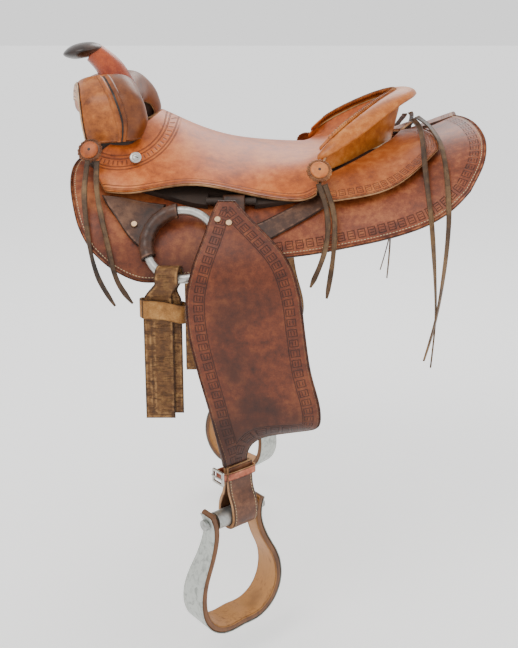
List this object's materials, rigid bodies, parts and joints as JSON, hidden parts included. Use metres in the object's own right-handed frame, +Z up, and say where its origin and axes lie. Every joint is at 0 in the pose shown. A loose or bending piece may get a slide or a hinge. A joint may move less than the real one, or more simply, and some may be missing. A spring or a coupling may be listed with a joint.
{
  "type": "western saddle",
  "caption": "Western riding saddle with horn, swells, rolled cantle, tooled leather skirts, fenders, hanging metal-bound stirrups, rigging rings, latigo and saddle strings.",
  "frame": {"origin": "on the centre line under the seat, where the horse's back carries the saddle", "axes": "-X towards the horse's head, -Y the near (left) side, +Z up"},
  "size_m": [0.6377, 0.6496, 0.8455],
  "materials": {
    "skirt_leather": "satin, tooled border",
    "fleece": "woolly",
    "tree_wood": "bare",
    "saddle_leather": "polished, worn",
    "horn_leather": "polished",
    "dark_leather": "polished",
    "strap_leather": "oiled",
    "fender_leather": "satin, tooled border",
    "nickel": "aged",
    "copper": "aged",
    "stirrup_wood": "worn",
    "galvanised": "dull, mottled",
    "string_leather": "dry",
    "latigo_leather": "oiled"
  },
  "bodies": {
    "saddle": {"near_skirt": "skirt_leather", "off_skirt": "skirt_leather", "near_lining": "fleece", "off_lining": "fleece", "near_bar": "tree_wood", "off_bar": "tree_wood", "fork": "tree_wood", "horn_core": "tree_wood", "cantle": "tree_wood", "fork_cover": "saddle_leather", "seat": "saddle_leather", "ground_seat": "saddle_leather", "near_rear_jockey": "saddle_leather", "off_rear_jockey": "saddle_leather", "cantle_cover": "saddle_leather", "cantle_roll": "saddle_leather", "rosettes": "saddle_leather", "horn_wrap": "horn_leather", "horn_cap": "dark_leather", "cantle_binding": "dark_leather", "near_rigging_front": "strap_leather", "near_rigging_rear": "strap_leather", "near_ring": "nickel", "near_front_string_a": "string_leather", "near_front_string_b": "string_leather", "near_mid_string_a": "string_leather", "near_mid_string_b": "string_leather", "near_rear_string_a": "string_leather", "near_rear_string_b": "string_leather", "off_rigging_front": "strap_leather", "off_rigging_rear": "strap_leather", "off_ring": "nickel", "off_front_string_a": "string_leather", "off_front_string_b": "string_leather", "off_mid_string_a": "string_leather", "off_mid_string_b": "string_leather", "off_rear_string_a": "string_leather", "off_rear_string_b": "string_leather", "rigging_rivets": "copper", "screws": "nickel"},
    "near_loop_body": {"near_loop": "strap_leather"},
    "near_fender_body": {"near_fender": "fender_leather", "near_fender_rivets": "copper"},
    "near_leg": {"near_lower_leather": "strap_leather", "near_hobble_strap": "strap_leather", "near_hobble_buckle": "nickel", "near_stirrup_bolt": "nickel"},
    "near_stirrup_body": {"near_stirrup": "stirrup_wood", "near_stirrup_binding": "galvanised"},
    "off_loop_body": {"off_loop": "strap_leather"},
    "off_fender_body": {"off_fender": "fender_leather", "off_fender_rivets": "copper"},
    "off_leg": {"off_lower_leather": "strap_leather", "off_hobble_strap": "strap_leather", "off_hobble_buckle": "nickel", "off_stirrup_bolt": "nickel"},
    "off_stirrup_body": {"off_stirrup": "stirrup_wood", "off_stirrup_binding": "galvanised"},
    "latigo_body": {"latigo": "latigo_leather"},
    "off_billet_body": {"off_billet": "latigo_leather"}
  },
  "joints": [
    {"name": "near_lift", "type": "hinge", "parent": "saddle", "child": "near_loop_body", "pos_m": [-0.036, -0.17398, -0.0135], "axis": [-1, 0, 0], "range_deg": [0, 35]},
    {"name": "near_swing", "type": "hinge", "parent": "near_loop_body", "child": "near_fender_body", "pos_m": [-0.036, -0.216, -0.035], "axis": [0, -0.9659, 0.259], "range_deg": [-4, 7]},
    {"name": "near_turn", "type": "hinge", "parent": "near_fender_body", "child": "near_leg", "pos_m": [-0.038, -0.258, -0.3845], "axis": [0, 0, 1], "range_deg": [-40, 50]},
    {"name": "near_stirrup_pivot", "type": "hinge", "parent": "near_leg", "child": "near_stirrup_body", "pos_m": [-0.038, -0.258, -0.464], "axis": [0.766, 0.6428, 0], "range_deg": [-75, 75]},
    {"name": "off_lift", "type": "hinge", "parent": "saddle", "child": "off_loop_body", "pos_m": [-0.036, 0.17398, -0.0135], "axis": [1, 0, 0], "range_deg": [0, 35]},
    {"name": "off_swing", "type": "hinge", "parent": "off_loop_body", "child": "off_fender_body", "pos_m": [-0.036, 0.216, -0.035], "axis": [0, -0.9659, -0.259], "range_deg": [-4, 7]},
    {"name": "off_turn", "type": "hinge", "parent": "off_fender_body", "child": "off_leg", "pos_m": [-0.038, 0.258, -0.3845], "axis": [0, 0, -1], "range_deg": [-40, 50]},
    {"name": "off_stirrup_pivot", "type": "hinge", "parent": "off_leg", "child": "off_stirrup_body", "pos_m": [-0.038, 0.258, -0.464], "axis": [-0.766, 0.6428, 0], "range_deg": [-75, 75]},
    {"name": "latigo_lift", "type": "hinge", "parent": "saddle", "child": "latigo_body", "pos_m": [-0.125, -0.247, -0.10599], "axis": [-1, 0, 0], "range_deg": [-3, 50]},
    {"name": "off_billet_lift", "type": "hinge", "parent": "saddle", "child": "off_billet_body", "pos_m": [-0.125, 0.247, -0.10599], "axis": [1, 0, 0], "range_deg": [-3, 50]}
  ]
}
